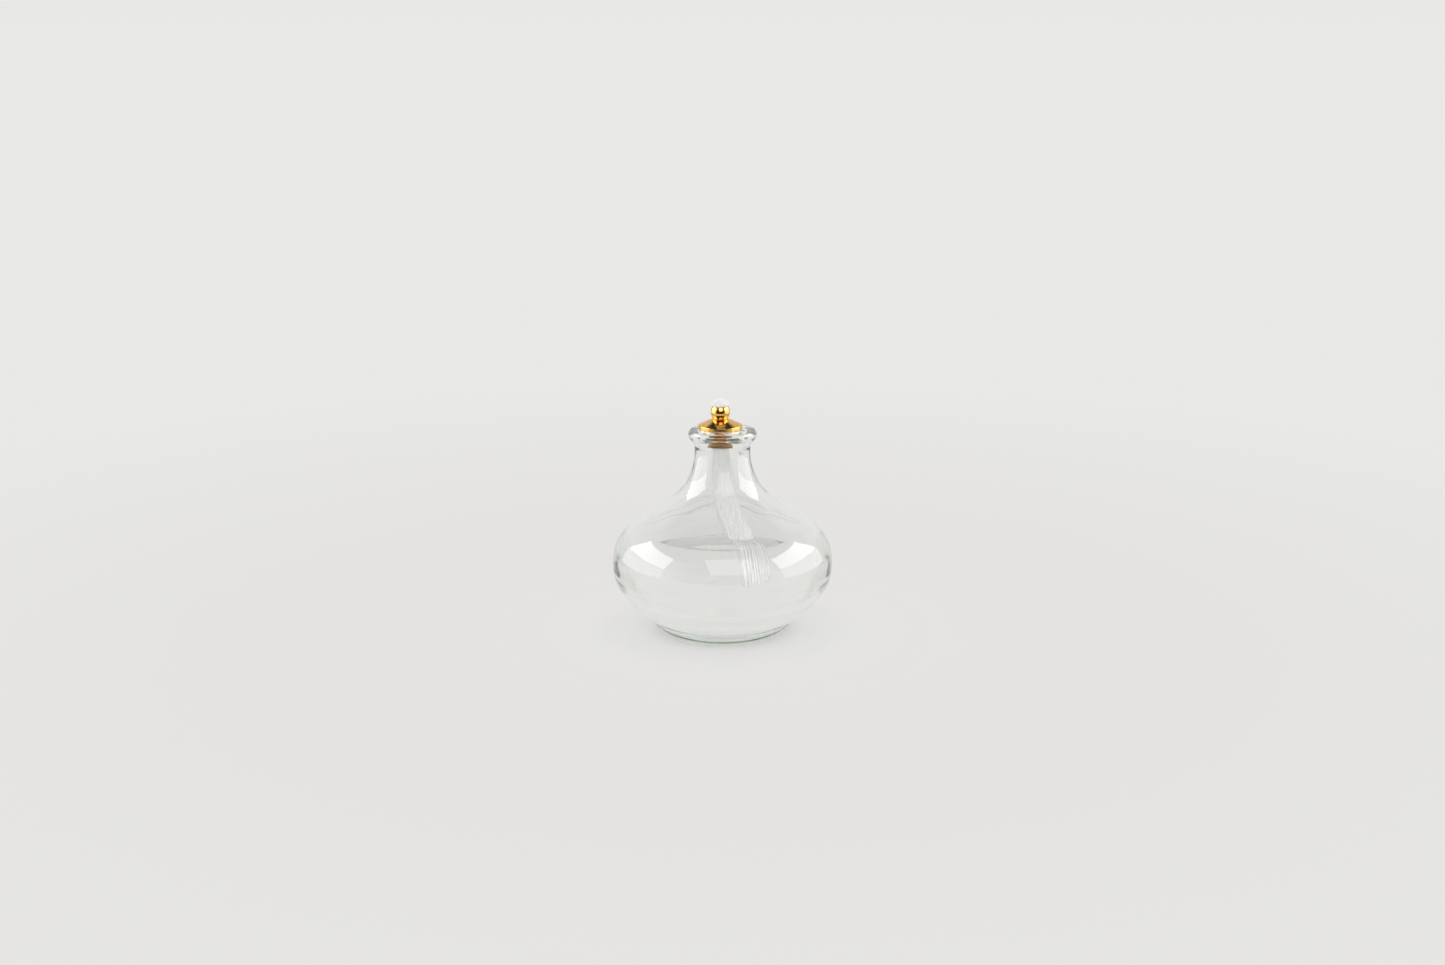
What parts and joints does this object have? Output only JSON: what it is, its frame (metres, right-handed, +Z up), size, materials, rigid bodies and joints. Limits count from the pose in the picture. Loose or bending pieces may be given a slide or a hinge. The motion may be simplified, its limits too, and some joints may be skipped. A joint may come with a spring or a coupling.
{
  "type": "oil lamp",
  "caption": "Squat onion-shaped clear glass oil lamp with a tapered foot, a lift-out turned brass wick holder and a round glass-fibre wick.",
  "frame": {"origin": "middle of the bottle's foot, on the surface it stands on", "axes": "+Z up along the bottle's axis; the wick's end hangs to the +X side and a little forwards; -Y is the front"},
  "size_m": [0.096, 0.096, 0.1027],
  "materials": {
    "clear_glass": "clear, fire-polished",
    "brushed_brass": "turned, brushed in circles",
    "polished_brass": "mirror-polished",
    "glass_fibre": "white glass-fibre rope"
  },
  "bodies": {
    "bottle": {"glass_bottle": "clear_glass"},
    "wick_holder": {"cover_cone": "brushed_brass", "ball_tip": "polished_brass", "wick_stem": "brushed_brass", "collar_nut": "polished_brass"},
    "wick_rope": {"wick": "glass_fibre"}
  },
  "joints": [
    {"name": "holder_lift", "type": "slide", "parent": "bottle", "child": "wick_holder", "axis": [0, 0, 1], "range_m": [0, 0.08], "deforming": ["wick"]},
    {"name": "wick_feed", "type": "slide", "parent": "wick_holder", "child": "wick_rope", "axis": [0, 0, 1], "range_m": [-0.002, 0.008], "deforming": ["wick"]}
  ]
}
